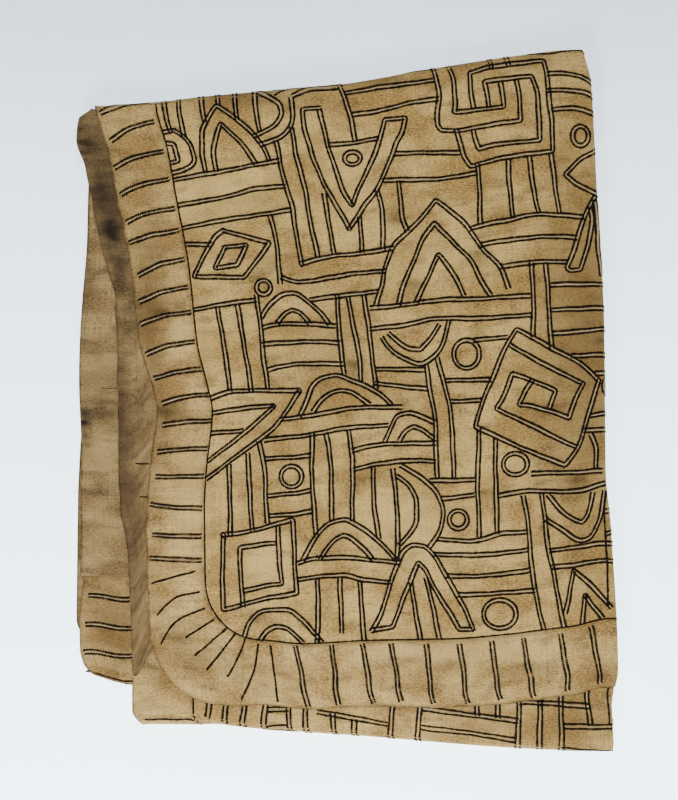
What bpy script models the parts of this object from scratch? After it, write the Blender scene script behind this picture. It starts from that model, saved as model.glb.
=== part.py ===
"""A raffia overskirt, folded flat: an embroidered field and the border that is sewn round it.

The cloth is drawn flat first, as u across and v along, both in mm from one hem. Function place() then
folds it: in half across, with the fold on the right, and back and forth lengthwise in four panels.
Half A of each panel has its left hem at u = 0, and half B has its hem at u = CLOTH_WIDTH.
"""

import math
from collections import namedtuple

import bpy
import numpy as np

MM = 0.001

Corner = namedtuple("Corner", "seam_radius hem_radius")
Sink = namedtuple("Sink", "half panel stays sinks layers")
Mound = namedtuple("Mound", "x y reach_x reach_y height")

# The flat cloth, in mm
CLOTH_WIDTH = 700.0
SHEET = 1.2
SIDE_BORDER = 42.0
END_BORDER = 48.0
SEAM_GAP = 0.3
PANELS = (448.0, 470.0, 470.0, 430.0)

# The corners, by half and end: only the one that lies on top keeps its full round
CORNERS = {
    ("A", "start"): Corner(42.0, 58.0),
    ("B", "start"): Corner(14.0, 12.0),
    ("A", "end"): Corner(22.0, 22.0),
    ("B", "end"): Corner(14.0, 9.0),
}
# How far along a side the border's cells take to come square again after a corner
CORNER_EASE = 120.0

# The layers: from the middle of one to the middle of the next, and the two kinds of turn this makes
PITCH = 2.2
TOP_LEVEL = 7.0
TOP_PAIR = 6.5
TURN_RADIUS = PITCH / 2
TURN_HALF = math.pi * TURN_RADIUS / 2
FOLD_LENGTH = math.pi * PITCH
CLOTH_LENGTH = sum(PANELS) + 3 * FOLD_LENGTH

# Where the lengthwise fold runs on the flat cloth: v, u
FOLD_LINE = ((0, 338), (420, 345), (700, 366), (1200, 364), (1860, 360))

# The bundle's outline on the table, in mm from its middle: y, x down a side, or x, y along an end
RIGHT_FOLD = (
    (254, 171), (232, 176), (145, 181), (52, 186), (-49, 187), (-93, 191), (-195, 196),
    (-212, 192), (-250, 194),
)
LEFT_HEMS = {
    "A": (
        (
            (215, -180), (181, -171), (145, -164), (100, -155), (41, -148), (12, -140), (-6, -136),
            (-50, -141), (-78, -143), (-114, -143), (-172, -141), (-219, -142),
        ),
        ((215, -181), (152, -186), (115, -187), (73, -190), (12, -193), (-35, -191), (-127, -192)),
        ((215, -184), (-127, -191)),
        ((215, -184), (0, -191), (-70, -195), (-172, -196)),
    ),
    "B": (
        (
            (211, -184), (204, -192), (190, -194), (170, -188), (141, -182), (107, -175), (73, -166),
            (15, -164), (-77, -163), (-93, -159), (-126, -156), (-206, -154),
        ),
        ((211, -184), (150, -170), (50, -159), (-120, -154), (-230, -154)),
        ((211, -150), (-200, -148), (-230, -146)),
        ((211, -150), (100, -187), (-110, -189), (-140, -191), (-172, -194), (-197, -190)),
    ),
}
TOP_FOLD = (
    (-194, 213), (-137, 216), (-105, 220), (-60, 224), (-4, 229), (61, 240), (126, 250), (165, 254),
)
LOWER_TOP_FOLD_INSET = 6.0
BOTTOMS = {
    "A": (
        (
            (-142, -219), (-82, -220), (-60, -219), (-31, -222), (20, -220), (73, -220), (119, -217),
            (134, -215), (164, -211), (190, -205),
        ),
        ((-192, -126), (-150, -128), (-100, -136), (0, -172), (100, -214), (190, -246)),
        ((-192, -126), (-150, -128), (-100, -136), (0, -172), (100, -214), (190, -246)),
        ((-196, -176), (-150, -182), (0, -190), (190, -200)),
    ),
    "B": (
        ((-155, -206), (-139, -177), (-110, -168), (-40, -180), (60, -196), (190, -206)),
        (
            (-157, -228), (-114, -229), (-95, -233), (-76, -236), (-40, -239), (10, -243), (126, -252),
            (190, -254),
        ),
        (
            (-150, -237), (-110, -237), (-90, -235), (-76, -237), (-40, -240), (10, -243), (126, -252),
            (190, -254),
        ),
        ((-190, -198), (-155, -206), (0, -204), (190, -200)),
    ),
}

# Past the bottom end of a layer, those above it sink by so many layers, wholly from one level up
SINKS = (
    Sink("B", 3, -1.0, 0.0, 1.7),
    Sink("A", 1, 2.0, 5.0, 1.6),
    Sink("B", 0, 5.0, 7.0, 0.8),
)
SINK_CLEAR = 8.0
SINK_RUN = 44.0

# Soft mounds and hollows of the upper layers
MOUNDS = (
    Mound(-150, 75, 26, 18, -1.1),
    Mound(-140, -5, 24, 16, -1.2),
    Mound(60, 190, 60, 34, 1.0),
    Mound(10, 70, 70, 50, 0.8),
    Mound(120, -20, 60, 70, 1.1),
    Mound(-60, -90, 70, 60, 0.7),
    Mound(150, -190, 44, 22, -0.8),
    Mound(60, -200, 70, 24, 1.0),
    Mound(-20, 150, 50, 40, -0.7),
)

# Cells of the mesh: along the four panels, round a turn, across each half and across the border
PANEL_CELLS = (17, 11, 11, 9)
FOLD_CELLS = 4
HALF_CELLS = {"A": 14, "B": 12}
TURN_CELLS = 4
BORDER_CELLS = 3
CORNER_TURN = (0.0, 0.25, 0.5, 0.75, 1.0)
NORMAL_STEP = 0.1
# Rounds that settle x and y, which each follow an outline that depends on the other
SETTLING_ROUNDS = 8

RAFFIA = (0.58, 0.40, 0.17)
BORDER_RAFFIA = (0.52, 0.35, 0.15)


def through(rows, at):
    """A smooth curve through a table of (along, value) rows, level beyond its ends."""
    along, value = np.array(sorted(rows), float).T
    step = np.diff(along)
    slope = np.diff(value) / step
    steady = slope[1:] * slope[:-1] > 0
    total = np.where(steady, slope[1:] + slope[:-1], 1.0)
    tangent = np.zeros_like(value)
    tangent[1:-1] = np.where(steady, 2 * slope[1:] * slope[:-1] / total, 0.0)
    at = np.clip(at, along[0], along[-1])
    i = np.clip(np.searchsorted(along, at) - 1, 0, len(step) - 1)
    f = (at - along[i]) / step[i]
    start = value[i] * (1 + 2 * f) * (1 - f) ** 2 + tangent[i] * step[i] * f * (1 - f) ** 2
    end = value[i + 1] * (3 - 2 * f) * f**2 - tangent[i + 1] * step[i] * f**2 * (1 - f)
    return start + end


def soft_step(f):
    """0 below 0, 1 above 1, and a smooth rise between."""
    f = np.clip(f, 0.0, 1.0)
    return f * f * (3 - 2 * f)


def mix(first, second, share):
    """The value a share of the way from the first to the second."""
    return first + (second - first) * share


def level_height(level):
    """Height of a layer's middle over the table, 0 for the lowest layer."""
    return SHEET / 2 + PITCH * level


def bottom_of(panel, half_b, x):
    """Where a panel ends at the bottom: a hem, or the middle of the turn of a fold."""
    ends = []
    for half, fold_radius in (("A", PITCH - TURN_RADIUS), ("B", PITCH + TURN_RADIUS)):
        end = through(BOTTOMS[half][panel], x)
        if panel in (1, 2):
            end = end + fold_radius + SHEET / 2
        ends.append(end)
    return mix(ends[0], ends[1], half_b)


def top_of(panel, x):
    """The middle of the turn of a fold at the top."""
    inset = PITCH + TURN_RADIUS + SHEET / 2
    if panel > 1:
        inset += LOWER_TOP_FOLD_INSET
    return through(TOP_FOLD, x) - inset


def left_of(panel, on_a, y):
    """The left hem of a panel's half."""
    return np.where(on_a, through(LEFT_HEMS["A"][panel], y), through(LEFT_HEMS["B"][panel], y))


def sink(x, y, level):
    """How far a point comes down because layers under it have ended."""
    down = np.zeros_like(x)
    for row in SINKS:
        past = (through(BOTTOMS[row.half][row.panel], x) - SINK_CLEAR - y) / SINK_RUN
        share = np.clip((level - row.stays) / (row.sinks - row.stays), 0.0, 1.0)
        down += row.layers * PITCH * soft_step(past) * share
    return down


def swell(x, y, level):
    """The rise of the cloth's soft mounds, which fade towards the table."""
    up = np.zeros_like(x)
    for row in MOUNDS:
        up += row.height * np.exp(-(((x - row.x) / row.reach_x) ** 2) - ((y - row.y) / row.reach_y) ** 2)
    return up * (np.clip(level, 0.0, TOP_LEVEL) / TOP_LEVEL) ** 2


def along_path(v):
    """For a distance along the cloth: its panel, how far along it, and how far round the next fold."""
    panel = np.zeros(v.shape, int)
    start = np.zeros(v.shape)
    begin = 0.0
    for index in range(1, len(PANELS)):
        begin += PANELS[index - 1] + FOLD_LENGTH
        here = v >= begin
        panel[here] = index
        start[here] = begin
    length = np.array(PANELS)[panel]
    run = np.minimum((v - start) / length, 1.0)
    turn = np.clip((v - start - length) / FOLD_LENGTH, 0.0, 1.0)
    return panel, run, np.where(panel < len(PANELS) - 1, turn, 0.0)


def place(u, v):
    """Where a point of the flat cloth lies in the folded bundle, as x, y and z in mm."""
    u, v = np.broadcast_arrays(np.asarray(u, float), np.asarray(v, float))
    fold_u = through(FOLD_LINE, v)
    from_fold = u - fold_u
    angle = np.clip(from_fold / TURN_RADIUS, -math.pi / 2, math.pi / 2)
    offset = -TURN_RADIUS * np.sin(angle)
    bulge = TURN_RADIUS * np.cos(angle)
    half_b = (1 + np.sin(angle)) / 2
    on_a = from_fold < 0
    half_width = np.where(on_a, fold_u, CLOTH_WIDTH - fold_u) - TURN_HALF
    across = np.maximum(np.abs(from_fold) - TURN_HALF, 0.0) / half_width
    panel, run, turn = along_path(v)
    x, y = np.zeros(u.shape), np.zeros(u.shape)
    z = np.zeros(u.shape)
    for index in range(len(PANELS)):
        here = panel == index
        if not here.any():
            continue
        facing = 1 if index % 2 == 0 else -1
        nearer = min(index + 1, len(PANELS) - 1)
        bent = facing * offset[here]
        swing = math.pi * turn[here]
        radius = PITCH + bent
        middle = level_height(TOP_PAIR - 2 * index)
        high = middle + bent
        z[here] = np.where(turn[here] > 0, middle - PITCH + radius * np.cos(swing), high)
        past_end = radius * np.sin(swing)
        blend = soft_step(turn[here])
        px, py = np.zeros(here.sum()), np.zeros(here.sum())
        for _ in range(SETTLING_ROUNDS):
            left = mix(left_of(index, on_a[here], py), left_of(nearer, on_a[here], py), blend)
            px = mix(through(RIGHT_FOLD, py) - TURN_RADIUS, left, across[here]) + bulge[here]
            if facing > 0:
                py = mix(bottom_of(index, half_b[here], px), top_of(index, px), run[here]) + past_end
            else:
                low = bottom_of(index, half_b[here], px)
                low = mix(low, bottom_of(nearer, half_b[here], px), blend)
                py = mix(top_of(index, px), low, run[here]) - past_end
        x[here], y[here] = px, py
    level = (z - SHEET / 2) / PITCH
    z = z - sink(x, y, level) + swell(x, y, level)
    return np.stack([x, y, z], axis=-1)


def facing_out(u, v):
    """The cloth's normal on its embroidered side, from two short steps across it."""
    step = NORMAL_STEP
    across = place(u + step, v) - place(u - step, v)
    along = place(u, v + step) - place(u, v - step)
    normal = np.cross(across, along)
    return normal / np.linalg.norm(normal, axis=-1, keepdims=True)


def stations(start, end, cells):
    """Evenly spaced values from start to just before end."""
    return list(np.linspace(start, end, cells, endpoint=False))


def field_rows():
    """The v of each row of the field, closer together round the corners and the folds."""
    start_radius = CORNERS["A", "start"].seam_radius
    end_radius = CORNERS["A", "end"].seam_radius
    rows = [END_BORDER + start_radius * (1 - math.cos(math.pi / 2 * t)) for t in CORNER_TURN[:-1]]
    begin = END_BORDER + start_radius
    at = 0.0
    for index, length in enumerate(PANELS):
        last = index == len(PANELS) - 1
        end = CLOTH_LENGTH - END_BORDER - end_radius if last else at + length
        rows += stations(begin, end, PANEL_CELLS[index])
        at += length
        if not last:
            rows += stations(at, at + FOLD_LENGTH, FOLD_CELLS)
            at += FOLD_LENGTH
            begin = at
    closing = [end_radius * (1 - math.cos(math.pi / 2 * t)) for t in CORNER_TURN]
    rows += [CLOTH_LENGTH - END_BORDER - inset for inset in reversed(closing)]
    return np.array(rows)


def corner_inset(v, half):
    """How far the seam draws in from its straight line at v, and the angle round the corner, or None."""
    for end, past in (("start", v - END_BORDER), ("end", CLOTH_LENGTH - END_BORDER - v)):
        radius = CORNERS[half, end].seam_radius
        if past < radius:
            angle = math.acos(1 - max(past, 0.0) / radius)
            return radius * (1 - math.sin(angle)), (end, angle)
    return 0.0, None


def field_grid():
    """The flat points of the field, row by row, from half A's seam to half B's."""
    rows = []
    for v in field_rows():
        fold_u = float(through(FOLD_LINE, v))
        left = SIDE_BORDER + corner_inset(v, "A")[0]
        right = CLOTH_WIDTH - SIDE_BORDER - corner_inset(v, "B")[0]
        columns = stations(left, fold_u - TURN_HALF, HALF_CELLS["A"])
        columns += stations(fold_u - TURN_HALF, fold_u + TURN_HALF, TURN_CELLS)
        columns += stations(fold_u + TURN_HALF, right, HALF_CELLS["B"]) + [right]
        rows.append([(u, v) for u in columns])
    return np.array(rows)


def eased(distance, seam_start, hem_start):
    """Distance along the hem for one along the seam, which the hem's rounder corner shifts."""
    shift = seam_start - hem_start
    return distance - shift * (1 - soft_step((distance - seam_start) / CORNER_EASE))


def hem_beside(v, half):
    """The hem's point beside a side's seam at v."""
    corner = corner_inset(v, half)[1]
    if corner:
        end, angle = corner
        radius = CORNERS[half, end].hem_radius
        inward, along = radius * (1 - math.sin(angle)), radius * (1 - math.cos(angle))
    else:
        end = "start" if v < CLOTH_LENGTH / 2 else "end"
        seam_radius, hem_radius = CORNERS[half, end]
        inward = 0.0
        past = v if end == "start" else CLOTH_LENGTH - v
        along = float(eased(past, END_BORDER + seam_radius, hem_radius))
    hem_u = inward if half == "A" else CLOTH_WIDTH - inward
    return hem_u, along if end == "start" else CLOTH_LENGTH - along


def hem_below(u, v, end):
    """The hem's point beyond a point of an end's seam."""
    half = "A" if u < through(FOLD_LINE, v) else "B"
    seam_radius, hem_radius = CORNERS[half, end]
    past = u if half == "A" else CLOTH_WIDTH - u
    along = float(eased(past, SIDE_BORDER + seam_radius, hem_radius))
    hem_u = along if half == "A" else CLOTH_WIDTH - along
    return hem_u, 0.0 if end == "start" else CLOTH_LENGTH


def border_grid(field):
    """The flat points of the border, as rings from the hem in to the seam."""
    seam, hem = [], []
    for u, v in field[0, :-1]:
        seam.append((u, v))
        hem.append(hem_below(u, v, "start"))
    for u, v in field[:-1, -1]:
        seam.append((u, v))
        hem.append(hem_beside(v, "B"))
    for u, v in field[-1, :0:-1]:
        seam.append((u, v))
        hem.append(hem_below(u, v, "end"))
    for u, v in field[:0:-1, 0]:
        seam.append((u, v))
        hem.append(hem_beside(v, "A"))
    seam, hem = np.array(seam), np.array(hem)
    out = (hem - seam) / np.linalg.norm(hem - seam, axis=1, keepdims=True)
    inner = seam + SEAM_GAP * out
    return np.array([mix(hem, inner, ring / BORDER_CELLS) for ring in range(BORDER_CELLS + 1)])


def grid_faces(rows, columns, closed):
    """Quads of a grid whose points are numbered row by row, and which may close on itself."""
    faces = []
    for row in range(rows - 1):
        for column in range(columns if closed else columns - 1):
            beside = (column + 1) % columns
            first, above = row * columns, (row + 1) * columns
            faces.append((first + column, first + beside, above + beside, above + column))
    return faces


def edge_loops(rows, columns, closed):
    """The open edges of such a grid, as loops of point numbers that run with its faces."""
    bottom = list(range(columns))
    top = [(rows - 1) * columns + column for column in range(columns)]
    if closed:
        return [bottom, top[::-1]]
    right = [row * columns + columns - 1 for row in range(1, rows)]
    left = [row * columns for row in range(rows - 2, 0, -1)]
    return [bottom + right + top[::-1][1:] + left]


def sheet_mesh(flat, closed):
    """Points and faces of a sheet of cloth: its two sides, and the edge between them."""
    rows, columns = flat.shape[:2]
    u, v = flat[..., 0].ravel(), flat[..., 1].ravel()
    middle, out = place(u, v), facing_out(u, v)
    count = len(middle)
    points = np.concatenate([middle + out * SHEET / 2, middle - out * SHEET / 2])
    front = grid_faces(rows, columns, closed)
    back = [tuple(count + corner for corner in reversed(face)) for face in front]
    rim = []
    for loop in edge_loops(rows, columns, closed):
        for first, second in zip(loop, loop[1:] + loop[:1]):
            quad = (second, first, count + first, count + second)
            # A ring's quads start one corner on, so that both sides of the seam split on one diagonal
            rim.append(quad[1:] + quad[:1] if closed else quad)
    return points, front + back + rim


def make_material(name, colour, roughness):
    """A plain finish for one piece."""
    material = bpy.data.materials.new(name)
    material.use_nodes = True
    shader = material.node_tree.nodes["Principled BSDF"]
    shader.inputs["Base Color"].default_value = (*colour, 1.0)
    shader.inputs["Roughness"].default_value = roughness
    return material


def make_piece(name, points, faces, material):
    """One named object from points in mm."""
    mesh = bpy.data.meshes.new(name)
    mesh.from_pydata((points * MM).tolist(), [], faces)
    mesh.materials.append(material)
    mesh.update()
    piece = bpy.data.objects.new(name, mesh)
    bpy.context.scene.collection.objects.link(piece)


def main():
    for old in list(bpy.data.objects):
        bpy.data.objects.remove(old, do_unlink=True)
    field_flat = field_grid()
    field_points, field_faces = sheet_mesh(field_flat, closed=False)
    border_points, border_faces = sheet_mesh(border_grid(field_flat), closed=True)
    every = np.concatenate([field_points, border_points])
    low, high = every.min(axis=0), every.max(axis=0)
    # The bundle stands on z = 0, with the middle of its box over the origin
    origin = np.array([(low[0] + high[0]) / 2, (low[1] + high[1]) / 2, low[2]])
    make_piece("field", field_points - origin, field_faces, make_material("raffia_field", RAFFIA, 0.85))
    make_piece(
        "border", border_points - origin, border_faces, make_material("raffia_border", BORDER_RAFFIA, 0.88)
    )


main()
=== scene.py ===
import math
from collections import namedtuple

import bpy
import numpy as np
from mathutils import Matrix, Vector


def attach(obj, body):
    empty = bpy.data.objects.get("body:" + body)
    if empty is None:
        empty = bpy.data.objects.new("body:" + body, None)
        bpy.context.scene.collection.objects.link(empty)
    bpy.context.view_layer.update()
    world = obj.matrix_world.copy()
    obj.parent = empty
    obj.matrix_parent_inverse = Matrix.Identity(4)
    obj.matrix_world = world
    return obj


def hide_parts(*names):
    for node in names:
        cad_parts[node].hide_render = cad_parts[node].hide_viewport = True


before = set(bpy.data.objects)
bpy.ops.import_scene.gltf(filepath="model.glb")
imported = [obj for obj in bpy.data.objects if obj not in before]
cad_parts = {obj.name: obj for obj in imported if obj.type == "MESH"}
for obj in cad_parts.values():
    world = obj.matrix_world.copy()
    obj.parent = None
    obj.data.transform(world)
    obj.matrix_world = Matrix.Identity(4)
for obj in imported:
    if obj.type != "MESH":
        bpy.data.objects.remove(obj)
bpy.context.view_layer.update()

# Embroidered field
# The long centre panel of the skirt: one length of plain-woven raffia, warp lengthwise, softened by
# pounding. It is folded in half across, fold on the right, and then back and forth in four panels.

MM = 0.001
Corner = namedtuple("Corner", "seam_radius hem_radius")
Sink = namedtuple("Sink", "half panel stays sinks layers")
Mound = namedtuple("Mound", "x y reach_x reach_y height")
Crease = namedtuple("Crease", "x1 y1 x2 y2 reach height")
Patch = namedtuple("Patch", "x y reach_x reach_y level depth")

CLOTH_WIDTH = 700.0
SHEET = 0.9
SIDE_BORDER = 42.0
END_BORDER = 48.0
SEAM_GAP = 0.3
PANELS = (448.0, 470.0, 470.0, 430.0)
CORNERS = {
    ("A", "start"): Corner(42.0, 58.0),
    ("B", "start"): Corner(14.0, 12.0),
    ("A", "end"): Corner(22.0, 22.0),
    ("B", "end"): Corner(14.0, 9.0),
}
CORNER_EASE = 120.0
# The pitch of the stacked layers, and the level of the top one and of the middle of the top pair
PITCH = 2.2
TOP_LEVEL = 7.0
TOP_PAIR = 6.5
TURN_RADIUS = PITCH / 2
TURN_HALF = math.pi * TURN_RADIUS / 2
FOLD_LENGTH = math.pi * PITCH
CLOTH_LENGTH = sum(PANELS) + 3 * FOLD_LENGTH
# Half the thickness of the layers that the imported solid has
SOLID_HALF = 0.6
# Rounds in which x and y settle on each other, as each outline depends on the other coordinate
PLACE_ROUNDS = 8
# Width of one raffia strip, and the step aside that keeps the reverse apart on the map
STRIP_WIDTH = 0.95
MAP_ASIDE = 20.0

# Where the lengthwise fold runs on the flat cloth: v, u
FOLD_LINE = ((0, 338), (420, 345), (700, 366), (1200, 364), (1860, 360))
# The bundle's outline on the table, in mm: y, x down a side, or x, y along an end
RIGHT_FOLD = (
    (254, 171), (232, 176), (145, 181), (52, 186), (-49, 187), (-93, 191), (-195, 196),
    (-212, 192), (-250, 194),
)
LEFT_HEMS = {
    "A": (
        (
            (215, -180), (181, -171), (145, -164), (100, -155), (41, -148), (12, -140), (-6, -136),
            (-50, -141), (-78, -143), (-114, -143), (-172, -141), (-219, -142),
        ),
        ((215, -181), (152, -186), (115, -187), (73, -190), (12, -193), (-35, -191), (-127, -192)),
        ((215, -184), (-127, -191)),
        ((215, -184), (0, -191), (-70, -195), (-172, -196)),
    ),
    "B": (
        (
            (211, -184), (204, -192), (190, -194), (170, -188), (141, -182), (107, -175), (73, -166),
            (15, -164), (-77, -163), (-93, -159), (-126, -156), (-206, -154),
        ),
        ((211, -184), (150, -170), (50, -159), (-120, -154), (-230, -154)),
        ((211, -150), (-200, -148), (-230, -146)),
        ((211, -150), (100, -187), (-110, -189), (-140, -191), (-172, -194), (-197, -190)),
    ),
}
TOP_FOLD = (
    (-194, 213), (-137, 216), (-105, 220), (-60, 224), (-4, 229), (61, 240), (126, 250), (165, 254),
)
LOWER_TOP_FOLD_INSET = 6.0
BOTTOMS = {
    "A": (
        (
            (-142, -219), (-82, -220), (-60, -219), (-31, -222), (20, -220), (73, -220), (119, -217),
            (134, -215), (164, -211), (190, -205),
        ),
        ((-192, -126), (-150, -128), (-100, -136), (0, -172), (100, -214), (190, -246)),
        ((-192, -126), (-150, -128), (-100, -136), (0, -172), (100, -214), (190, -246)),
        ((-196, -176), (-150, -182), (0, -190), (190, -200)),
    ),
    "B": (
        ((-155, -206), (-139, -177), (-110, -168), (-40, -180), (60, -196), (190, -206)),
        (
            (-157, -228), (-114, -229), (-95, -233), (-76, -236), (-40, -239), (10, -243), (126, -252),
            (190, -254),
        ),
        (
            (-150, -237), (-110, -237), (-90, -235), (-76, -237), (-40, -240), (10, -243), (126, -252),
            (190, -254),
        ),
        ((-190, -198), (-155, -206), (0, -204), (190, -200)),
    ),
}
# Past the bottom end of a layer, those above it sink by so many layers
SINKS = (
    Sink("B", 3, -1.0, 0.0, 1.7),
    Sink("A", 1, 2.0, 5.0, 1.6),
    Sink("B", 0, 5.0, 7.0, 0.8),
)
SINK_CLEAR = 8.0
SINK_RUN = 44.0
MOUNDS = [Mound(*row) for row in (
    (-150, 75, 26, 18, -1.1), (-140, -5, 24, 16, -1.2), (60, 190, 60, 34, 1.0), (10, 70, 70, 50, 0.8),
    (120, -20, 60, 70, 1.1), (-60, -90, 70, 60, 0.7), (150, -190, 44, 22, -0.8), (60, -200, 70, 24, 1.0),
    (-20, 150, 50, 40, -0.7),
)]
# Creases placed one by one: soft troughs (-) and ridges (+) of the upper layers
CREASES = [Crease(*row) for row in (
    (-139, 68, -118, 66, 6, -1.4), (-140, -6, -118, -2, 7, -1.5), (-52, 103, -66, 90, 5, -1.1),
    (32, 138, 48, 127, 5, -1.2), (50, 82, 44, 96, 5, -1.0), (2, 22, 8, 34, 6, -1.0),
    (96, 103, 104, 114, 5, -1.2), (180, 46, 190, 44, 6, -1.0), (140, -10, 150, -6, 6, -1.2),
    (98, -70, 106, -64, 5, -1.0), (160, -60, 170, -52, 6, -1.1), (148, -48, 156, -44, 5, -0.9),
    (36, -2, 48, 4, 6, -0.9), (4, -60, 24, -42, 7, -1.0), (104, -184, 156, -190, 5, 0.9),
    (106, -193, 152, -199, 4, -0.9), (172, -192, 190, -204, 4, 0.9), (70, -190, 78, -188, 5, -0.8),
    (38, -187, 44, -184, 5, -0.8), (-166, 75, -151, 47, 5, -1.2), (-151, 47, -139, 15, 5, -1.2),
    (-100, 190, 40, 214, 9, 0.7), (60, 222, 168, 238, 8, 0.6), (-120, 30, -70, -4, 12, 0.8),
    (-20, -10, 60, -22, 14, 0.7), (70, 160, 140, 120, 16, 0.7), (-90, 150, -20, 100, 16, -0.5),
    (80, -120, 170, -100, 14, 0.6), (-150, -100, -110, -150, 10, -0.7),
)]


def through(rows, at):
    """A smooth curve through a table of (along, value) rows, level beyond its ends."""
    along, value = np.array(sorted(rows), float).T
    step = np.diff(along)
    slope = np.diff(value) / step
    steady = slope[1:] * slope[:-1] > 0
    total = np.where(steady, slope[1:] + slope[:-1], 1.0)
    tangent = np.zeros_like(value)
    tangent[1:-1] = np.where(steady, 2 * slope[1:] * slope[:-1] / total, 0.0)
    at = np.clip(at, along[0], along[-1])
    i = np.clip(np.searchsorted(along, at) - 1, 0, len(step) - 1)
    f = (at - along[i]) / step[i]
    start = value[i] * (1 + 2 * f) * (1 - f) ** 2 + tangent[i] * step[i] * f * (1 - f) ** 2
    end = value[i + 1] * (3 - 2 * f) * f**2 - tangent[i + 1] * step[i] * f**2 * (1 - f)
    return start + end


def soft_step(f):
    """0 below 0, 1 above 1, and a smooth rise between."""
    f = np.clip(f, 0.0, 1.0)
    return f * f * (3 - 2 * f)


def mix(first, second, share):
    """The value a share of the way from the first to the second."""
    return first + (second - first) * share


def bottom_of(panel, half_b, x):
    """Where a panel ends at the bottom: a hem, or the middle of the turn of a fold."""
    ends = []
    for half, fold_radius in (("A", PITCH - TURN_RADIUS), ("B", PITCH + TURN_RADIUS)):
        end = through(BOTTOMS[half][panel], x)
        if panel in (1, 2):
            end = end + fold_radius + SOLID_HALF
        ends.append(end)
    return mix(ends[0], ends[1], half_b)


def top_of(panel, x):
    """The middle of the turn of a fold at the top."""
    inset = PITCH + TURN_RADIUS + SOLID_HALF
    if panel > 1:
        inset += LOWER_TOP_FOLD_INSET
    return through(TOP_FOLD, x) - inset


def left_of(panel, on_a, y):
    """The left hem of a panel's half."""
    return np.where(on_a, through(LEFT_HEMS["A"][panel], y), through(LEFT_HEMS["B"][panel], y))


def sink(x, y, level):
    """How far a point comes down because layers under it have ended."""
    down = np.zeros_like(x)
    for row in SINKS:
        past = (through(BOTTOMS[row.half][row.panel], x) - SINK_CLEAR - y) / SINK_RUN
        share = np.clip((level - row.stays) / (row.sinks - row.stays), 0.0, 1.0)
        down += row.layers * PITCH * soft_step(past) * share
    return down


def from_line(x, y, row):
    """Distance of points from a crease's line."""
    run_x, run_y = row.x2 - row.x1, row.y2 - row.y1
    share = np.clip(((x - row.x1) * run_x + (y - row.y1) * run_y) / (run_x**2 + run_y**2), 0.0, 1.0)
    return np.hypot(x - row.x1 - share * run_x, y - row.y1 - share * run_y)


def cockle(x, y):
    """The faint unevenness that pounded raffia keeps, a few cm across."""
    slow = np.sin(x / 17 + 1.3 * np.sin(y / 31)) * np.sin(y / 21 + 0.9 * np.sin(x / 27))
    fine = np.sin(x / 7.3 + y / 19) * np.sin(y / 8.9 - x / 23)
    return 0.42 * slow + 0.14 * fine


def swell(x, y, level):
    """The rise of mounds, creases and cockling, which fades towards the table."""
    up = cockle(x, y)
    for row in MOUNDS:
        up += row.height * np.exp(-(((x - row.x) / row.reach_x) ** 2) - ((y - row.y) / row.reach_y) ** 2)
    for row in CREASES:
        up += row.height * np.exp(-((from_line(x, y, row) / row.reach) ** 2))
    return up * (np.clip(level, 0.0, TOP_LEVEL) / TOP_LEVEL) ** 2


def along_path(v):
    """For a distance along the cloth: its panel, how far along it, and how far round the next fold."""
    panel = np.zeros(v.shape, int)
    start = np.zeros(v.shape)
    begin = 0.0
    for index in range(1, len(PANELS)):
        begin += PANELS[index - 1] + FOLD_LENGTH
        here = v >= begin
        panel[here] = index
        start[here] = begin
    length = np.array(PANELS)[panel]
    run = np.minimum((v - start) / length, 1.0)
    turn = np.clip((v - start - length) / FOLD_LENGTH, 0.0, 1.0)
    return panel, run, np.where(panel < len(PANELS) - 1, turn, 0.0)


def place(u, v):
    """Where a point of the flat cloth lies in the folded bundle, as x, y and z in mm."""
    u, v = np.broadcast_arrays(np.asarray(u, float), np.asarray(v, float))
    fold_u = through(FOLD_LINE, v)
    from_fold = u - fold_u
    angle = np.clip(from_fold / TURN_RADIUS, -math.pi / 2, math.pi / 2)
    offset = -TURN_RADIUS * np.sin(angle)
    bulge = TURN_RADIUS * np.cos(angle)
    half_b = (1 + np.sin(angle)) / 2
    on_a = from_fold < 0
    half_width = np.where(on_a, fold_u, CLOTH_WIDTH - fold_u) - TURN_HALF
    across = np.maximum(np.abs(from_fold) - TURN_HALF, 0.0) / half_width
    panel, run, turn = along_path(v)
    x, y, z = np.zeros(u.shape), np.zeros(u.shape), np.zeros(u.shape)
    for index in range(len(PANELS)):
        here = panel == index
        if not here.any():
            continue
        facing = 1 if index % 2 == 0 else -1
        nearer = min(index + 1, len(PANELS) - 1)
        bent = facing * offset[here]
        swing = math.pi * turn[here]
        radius = PITCH + bent
        middle = SHEET / 2 + PITCH * (TOP_PAIR - 2 * index)
        z[here] = np.where(turn[here] > 0, middle - PITCH + radius * np.cos(swing), middle + bent)
        past_end = radius * np.sin(swing)
        blend = soft_step(turn[here])
        px, py = np.zeros(here.sum()), np.zeros(here.sum())
        for _ in range(PLACE_ROUNDS):
            left = mix(left_of(index, on_a[here], py), left_of(nearer, on_a[here], py), blend)
            px = mix(through(RIGHT_FOLD, py) - TURN_RADIUS, left, across[here]) + bulge[here]
            if facing > 0:
                py = mix(bottom_of(index, half_b[here], px), top_of(index, px), run[here]) + past_end
            else:
                low = bottom_of(index, half_b[here], px)
                low = mix(low, bottom_of(nearer, half_b[here], px), blend)
                py = mix(top_of(index, px), low, run[here]) - past_end
        x[here], y[here] = px, py
    level = (z - SHEET / 2) / PITCH
    z = z - sink(x, y, level) + swell(x, y, level)
    return np.stack([x, y, z], axis=-1)


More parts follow.
